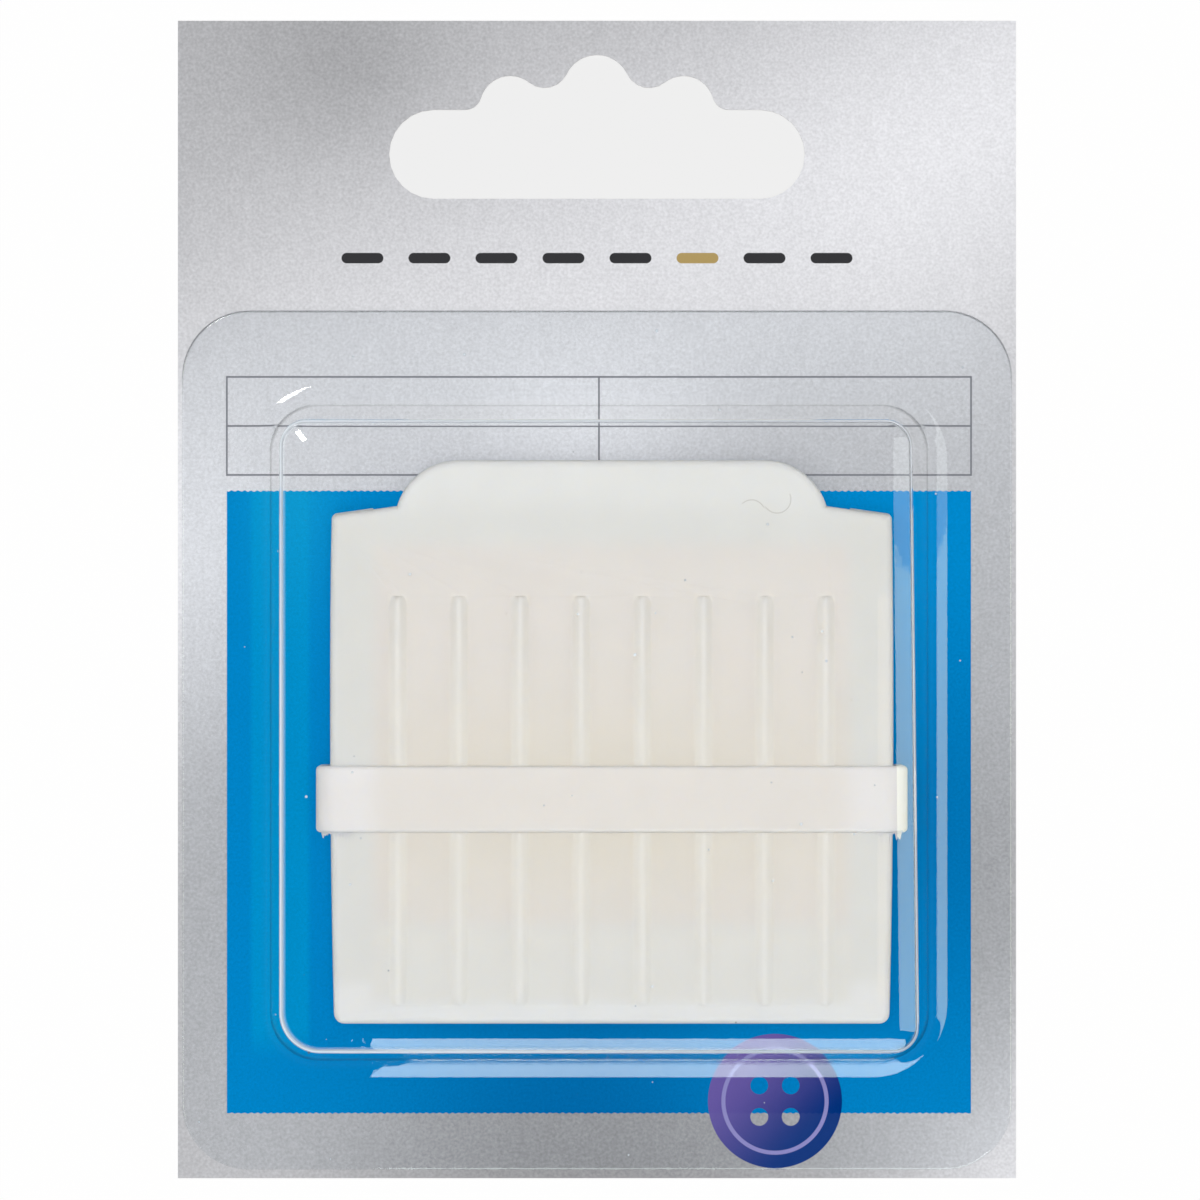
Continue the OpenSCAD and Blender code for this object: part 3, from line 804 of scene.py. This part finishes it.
def leaf(name, wedge, finish):
    """One half of the holder, its parting face down and its ribs up."""
    roof = tray_h - leaf_t
    steps = 8
    rings = [lift(holder_outline(0.0), 0.0)]
    for i in range(steps + 1):
        a = math.radians(90 * i / steps)
        inset = side_draft + edge_r * (1 - math.cos(a))
        rings.append(lift(holder_outline(inset), tray_h - edge_r * (1 - math.sin(a))))
    made = skin(name, rings)
    pocket = [
        (ledge_top, -past),
        (holder_h + past, -past),
        (holder_h + past, roof + lip_lead_depth),
        (holder_h - lip_lead, roof),
        (ledge_top, roof),
    ]
    combine(made, bar("pocket", pocket, pocket_w), "DIFFERENCE")
    cell = [(floor_t, -past), (floor_t + cell_h, -past), (floor_t + cell_h, roof), (floor_t, roof)]
    combine(made, bar("cell", cell, pocket_w), "DIFFERENCE")
    blank = rib_blank("rib_blank", wedge)
    shift(blank, Matrix.Translation((0, 0, tray_h * MM)))
    row_mesh = bpy.data.meshes.new("rib_row")
    row = bpy.data.objects.new("rib_row", row_mesh)
    bpy.context.scene.collection.objects.link(row)
    nodes_change = row.modifiers.new("row", "NODES")
    nodes_change.node_group = rib_row_tree()
    settings = {
        "Rib": blank,
        "Count": rib_n,
        "Pitch": rib_pitch * MM,
        "Start": -(rib_n - 1) / 2 * rib_pitch * MM,
        "Finish": finish,
    }
    for item in nodes_change.node_group.interface.items_tree:
        if item.in_out == "INPUT" and item.name in settings:
            nodes_change[item.identifier] = settings[item.name]
    settle(row)
    combine(made, row, "UNION")
    bpy.data.objects.remove(blank)
    dress(made, finish)
    return made


def rod(name, radius, width, sides):
    """A round bar along X about the middle."""
    rim = arc(0, 0, radius, 0, 360 - 360 / sides, sides - 1)
    return bar(name, rim, width)


milk_front = milky_plastic("milky_polyethylene", True, 2.0)

back_leaf = leaf("holder_rear_leaf", 0.0, milk_front)
shift(back_leaf, Matrix.Scale(-1, 4, (0, 0, 1)))
shift(back_leaf, Matrix.Translation((tool_x * MM, tool_y * MM, (part_z - part_gap / 2) * MM)))
web = rod("web", web_r, web_w, 32)
shift(web, Matrix.Translation((tool_x * MM, (tool_y + hinge_y) * MM, part_z * MM)))
combine(back_leaf, web, "UNION")
smooth(back_leaf, 35)
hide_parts("back_jaw")
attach(back_leaf, "holder")

front_leaf = leaf("holder_front_leaf", wedge_rate, milk_front)
shift(front_leaf, Matrix.Translation((0, -hinge_y * MM, part_gap / 2 * MM)))
combine(front_leaf, rod("relief", web_r + web_gap, web_w + 2 * web_gap, 32), "DIFFERENCE")
shift(front_leaf, Matrix.Rotation(math.radians(open_deg), 4, "X"))
shift(front_leaf, Matrix.Translation((tool_x * MM, (tool_y + hinge_y) * MM, part_z * MM)))
smooth(front_leaf, 35)
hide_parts("front_jaw")
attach(front_leaf, "front_leaf")


# Clamp ring
# A flat polyethylene band moulded in one piece. Its gate and parting line left torn flash hanging
# from the two front corners of its lower rim.
ring_t = 1.0
ring_end_r = 0.42
ring_corner_r = 1.3 + ring_t
ring_low, ring_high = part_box("clamp_ring")
ring_x, ring_y, ring_z = [(low / MM, high / MM) for low, high in zip(ring_low, ring_high)]


def round_rect(x0, y0, x1, y1, r, n):
    """Outline of a rectangle with round corners, counterclockwise. The last may have its own radius."""
    r, last = r if isinstance(r, tuple) else (r, r)
    return (
        arc(x1 - r, y0 + r, r, -90, 0, n)
        + arc(x1 - r, y1 - r, r, 0, 90, n)
        + arc(x0 + r, y1 - r, r, 90, 180, n)
        + arc(x0 + last, y0 + last, last, 180, 270, n)
    )


def ring_outline(d, y):
    """The band's section across X and Z, drawn in by d, at a height."""
    flat = round_rect(ring_x[0] + d, ring_z[0] + d, ring_x[1] - d, ring_z[1] - d, ring_corner_r - d, 10)
    return [(x, y, z) for x, z in flat]


ring_turns = [math.radians(90 * i / 6) for i in range(7)]
ring_rows = [ring_outline(ring_t, ring_y[0] + 0.1), ring_outline(ring_t - 0.1, ring_y[0])]
ring_rows += [
    ring_outline(ring_end_r * (1 - math.sin(t)), ring_y[0] + ring_end_r * (1 - math.cos(t)))
    for t in ring_turns
]
ring_rows += [
    ring_outline(ring_end_r * (1 - math.sin(t)), ring_y[1] - ring_end_r * (1 - math.cos(t)))
    for t in reversed(ring_turns)
]
ring_rows += [ring_outline(ring_t - 0.1, ring_y[1]), ring_outline(ring_t, ring_y[1] - 0.1)]
ring = skin("sliding_ring", ring_rows, closed=True)

flash_t = 0.1
flash_in = 0.35
flash_random = random.Random(23)


def flash(name, corner_x, inward, columns, length, fall):
    """A torn film that hangs from the ring's lower rim, round one front corner."""
    rows = []
    centre_x = corner_x + inward * ring_corner_r
    centre_z = ring_z[1] - ring_corner_r
    for i in range(columns + 1):
        share = i / columns
        turn = math.radians(25 + 65 * min(share * 2, 1.0))
        slide = max(share * 2 - 1, 0.0) * length
        hang = 0.06 + fall * flash_random.random() ** 2.5
        hang *= min(1.0, 8 * share + 0.1, 6 * (1 - share) + 0.1)
        ends = (ring_y[0] + 0.3, ring_y[0] - hang)
        column = []
        for depth, levels in ((flash_in, ends), (flash_in + flash_t, reversed(ends))):
            r = ring_corner_r - depth
            x = centre_x - inward * r * math.cos(turn) + inward * slide
            z = centre_z + r * math.sin(turn)
            column += [(x, y, z) for y in levels]
        rows.append(column)
    return skin(name, rows)


def join_meshes(made, others):
    """Adds other meshes to one, as loose shells of the same piece."""
    work = bmesh.new()
    work.from_mesh(made.data)
    for other in others:
        work.from_mesh(other.data)
    work.to_mesh(made.data)
    work.free()
    for other in others:
        bpy.data.objects.remove(other)


join_meshes(ring, [
    flash("flash_left", ring_x[0], 1, 30, 1.2, 1.0),
    flash("flash_right", ring_x[1], -1, 26, 0.6, 1.9),
])
dress(ring, milky_plastic("ring_polyethylene", False, 1.0))
smooth(ring, 40)
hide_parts("clamp_ring")
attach(ring, "ring")


# Chalk plate
# Dressmakers' chalk pressed dry in a mould, with two edges sharpened. It is matt, slightly dusty
# and pitted. The jaws hide all but its edges.
chalk = Finish("pressed_chalk")
chalk_pits = chalk.grain(0.35, 5.0)
chalk_dust = chalk.grain(4.0, 4.0)
chalk_tone = chalk.sum("MULTIPLY_ADD", chalk_dust, 0.08, 0.76)
chalk_tone = chalk.sum("MULTIPLY_ADD", chalk_pits, 0.06, chalk_tone)
chalk.surface(
    Base_Color=chalk.tint(chalk_tone, (1.0, 0.97, 0.93)),
    Roughness=0.95,
    Specular_IOR_Level=0.2,
    Normal=chalk.relief(chalk_pits, 0.08, 0.6),
)
dress(nodes["chalk_plate"], chalk.material)


# Blister
# A clear sheet of 0.3 mm, vacuum formed with one square dome and sealed to the card by its flange.
# The dome's foot is a hollow radius, and its front crowns a little before it turns into the walls.
sheet_t = 0.3
dome_draft = 3.7
dome_foot_r = 3.2
dome_top_r = 0.5
crown_w = 3.7
crown_drop = 0.4
crown_deg = 74
foot_rows = 18
wall_rows = 8
bend_rows = 8
crown_rows = 12
wall_top_row = foot_rows + wall_rows
bend_top_row = wall_top_row + bend_rows
flange_left = 6.3
flange_right = 5.85
flange_top = 6.8
flange_foot = 8.35
flange_corner_r = 6.4
foot_corner_r = 7.6
top_corner_r = 2.5
corner_shrink = 0.85
last_corner_extra = 1.3
blister_low, blister_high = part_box("blister")
sheet_box = [(low / MM, high / MM) for low, high in zip(blister_low, blister_high)]
flange_x, flange_y, (flange_z, front_z) = sheet_box
dome_x = (flange_x[0] + flange_left, flange_x[1] - flange_right)
dome_y = (flange_y[0] + flange_foot, flange_y[1] - flange_top)
dome_h = front_z - flange_z - sheet_t


def dome_profile():
    """Drawn-in distance, height and slope of the dome's outer face, from the flange to its flat."""
    places = []
    lean = math.radians(dome_draft)
    for i in range(foot_rows + 1):
        a = math.radians(90 + (dome_draft - 90) * i / foot_rows)
        places.append((dome_foot_r * math.cos(a), dome_foot_r * (1 - math.sin(a)), a))
    u, h, _ = places[-1]
    edge_drop = dome_top_r * (1 - math.sin(lean))
    top = dome_h - crown_drop - edge_drop + 0.06
    for i in range(1, wall_rows + 1):
        step = (top - h) * i / wall_rows
        places.append((u + step * math.tan(lean), h + step, lean))
    u, h, _ = places[-1]
    crown_slope = math.radians(crown_deg)
    for i in range(1, bend_rows + 1):
        a = lean + (crown_slope - lean) * i / bend_rows
        places.append((
            u + dome_top_r * (math.cos(lean) - math.cos(a)),
            h + dome_top_r * (math.sin(a) - math.sin(lean)),
            a,
        ))
    u, h, _ = places[-1]
    left = dome_h - h
    power = crown_w * math.tan(math.radians(90) - crown_slope) / left
    for i in range(1, crown_rows + 1):
        t = i / crown_rows
        fall = (1 - t) ** power
        slope = power * left / crown_w * (1 - t) ** (power - 1)
        places.append((u + crown_w * t, dome_h - left * fall, math.radians(90) - math.atan(slope)))
    return places


def corner_at(u, edge_u):
    """Corner radius of the dome where it is drawn in by u."""
    if u <= edge_u:
        return foot_corner_r + (top_corner_r - foot_corner_r) * u / edge_u
    return top_corner_r - (u - edge_u) * corner_shrink


def sheet_ring(place, depth, edge_u):
    """The dome's outline at one place on its profile, depth below its outer face."""
    u, h, a = place
    d = u + depth * math.cos(a)
    z = flange_z + sheet_t + h - depth * math.sin(a)
    r = max(corner_at(u, edge_u) - depth * math.cos(a), 0.3)
    radii = (r, r + last_corner_extra * min(1.0, u / edge_u) ** 4)
    return lift(round_rect(dome_x[0] + d, dome_y[0] + d, dome_x[1] - d, dome_y[1] - d, radii, 16), z)


profile = dome_profile()
wall_u = profile[wall_top_row][0]
outside = [sheet_ring(place, 0.0, wall_u) for place in profile]
inside = [sheet_ring(place, sheet_t, wall_u) for place in reversed(profile)]


def rim_ring(inset, z):
    """The flange's outline, drawn in by inset, at a height."""
    low = (flange_x[0] + inset, flange_y[0] + inset)
    high = (flange_x[1] - inset, flange_y[1] - inset)
    return lift(round_rect(low[0], low[1], high[0], high[1], flange_corner_r - inset, 16), z)


edge_places = ((0.2, 0.0), (0.05, 0.0), (0.0, 0.05))
edge_rows = [rim_ring(inset, flange_z + rise) for inset, rise in edge_places]
edge_rows += [rim_ring(inset, flange_z + sheet_t - rise) for inset, rise in reversed(edge_places)]
dome = skin("clear_blister", inside + edge_rows + outside)
smooth(dome, 50)

# Vacuum forming drew the dome a little out of true: wider to the left and at its foot, and
# narrower at the right towards the slot
spread_left = 0.45
spread_right = 0.4
spread_foot = 0.58
taper_right = 0.0205
front_inset = 3.4
dome_half_x = dome_x[1] - front_inset
dome_mid_y = (dome_y[0] + dome_y[1]) / 2
dome_half_y = (dome_y[1] - dome_y[0]) / 2
for vertex in dome.data.vertices:
    x, y, z = [c / MM for c in vertex.co]
    share = max(z - flange_z - sheet_t, 0.0) / dome_h
    side = x / dome_half_x
    reach = spread_left if side < 0 else spread_right - taper_right * max(y + 18.0, 0.0)
    foot_share = max(dome_mid_y - y, 0.0) / dome_half_y
    vertex.co.x = (x + share * reach * side) * MM
    vertex.co.y = (y - share * spread_foot * foot_share) * MM

# A painted highlight runs along the dome's edge, in a narrower and weaker line at the right
ring_count = len(outside[0])
outer_start = (len(inside) + len(edge_rows)) * ring_count
first_bend_row = wall_top_row + 2
middle_bend_row = (first_bend_row + bend_top_row) / 2
bend_mark = dome.data.attributes.new("bend", "FLOAT", "POINT")
for row in range(first_bend_row, bend_top_row + 1):
    for i in range(ring_count):
        at = outer_start + row * ring_count + i
        to_right = min(max((dome.data.vertices[at].co.x / MM - 21.0) / 5.0, 0.0), 1.0)
        highlight_strength = max(0.0, 1.0 - abs(row - middle_bend_row) / (5.0 - 2.6 * to_right))
        bend_mark.data[at].value = highlight_strength * (1.0 - 0.25 * to_right)

# The steep wall and the foot below it are drawn thinnest and mirror least
last_gloss_row = 6
wall_mark = dome.data.attributes.new("wall", "FLOAT", "POINT")
for row in range(last_gloss_row + 1, first_bend_row):
    least = min(1.0, (row - last_gloss_row) / 3)
    for start in (outer_start + row * ring_count, (len(inside) - 1 - row) * ring_count):
        for i in range(ring_count):
            wall_mark.data[start + i].value = least

# Painted shade darkens the flange's cut rim, most towards the top
rim_mark = dome.data.attributes.new("rim", "FLOAT", "POINT")
for i in range(len(inside) * ring_count + ring_count, outer_start - ring_count):
    rim_mark.data[i].value = 1.0

clear = Finish("clear_sheet")
ripple = clear.grain(6.0, 2.0)
glass = clear.add("ShaderNodeBsdfGlass")
glass.inputs["Color"].default_value = (0.985, 0.992, 0.998, 1)
glass.inputs["Roughness"].default_value = 0.0
glass.inputs["IOR"].default_value = 1.53
waves = clear.sum("MULTIPLY_ADD", clear.grain(1.8, 2.0), 0.12, ripple)
clear.feed(glass.inputs["Normal"], clear.relief(waves, 0.05, 0.25))
pass_light = clear.add("ShaderNodeBsdfTransparent")
pass_light.inputs["Color"].default_value = (0.99, 0.995, 0.997, 1)
wall_clear = 0.91
wall_share = clear.add("ShaderNodeAttribute", attribute_name="wall")
wall_passes = clear.sum("MULTIPLY", wall_share.outputs["Fac"], wall_clear)
lets_by = clear.sum("MAXIMUM", clear.lit_through(), wall_passes)
sheet_skin = clear.wire("ShaderNodeMixShader", lets_by, glass.outputs[0], pass_light.outputs[0])
bend_share = clear.add("ShaderNodeAttribute", attribute_name="bend")
# One white shader serves both the painted highlight along the dome's edge and the real dust specks
highlight_and_dust_white = clear.add("ShaderNodeBsdfDiffuse")
highlight_and_dust_white.inputs["Color"].default_value = (0.82, 0.90, 0.98, 1)
sheet_y = clear.axes()[1]
# The painted highlight is weaker towards the top of the dome
bend_highlight_fade = clear.ramp(sheet_y, -10.0, 18.0, 1.0, 0.75)
bend_highlight_share = clear.sum("MULTIPLY", bend_share.outputs["Fac"], bend_highlight_fade)
dusty = clear.sum("MULTIPLY", clear.dust(2.6, 0.13, 0.5), 0.7)
marked = clear.sum("MAXIMUM", bend_highlight_share, dusty)
sheet_skin = clear.wire("ShaderNodeMixShader", marked, sheet_skin, highlight_and_dust_white.outputs[0])
rim_share = clear.add("ShaderNodeAttribute", attribute_name="rim")
painted_rim_shade = clear.add("ShaderNodeBsdfDiffuse")
painted_rim_shade.inputs["Color"].default_value = (0.2, 0.21, 0.23, 1)
rim_shade_fade = clear.ramp(sheet_y, 19.0, 25.0, 0.0, 0.45)
rim_shade_share = clear.sum("MULTIPLY", rim_share.outputs["Fac"], rim_shade_fade)
clear.finish(clear.wire("ShaderNodeMixShader", rim_shade_share, sheet_skin, painted_rim_shade.outputs[0]))
dress(dome, clear.material)
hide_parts("blister")
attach(dome, "blister")
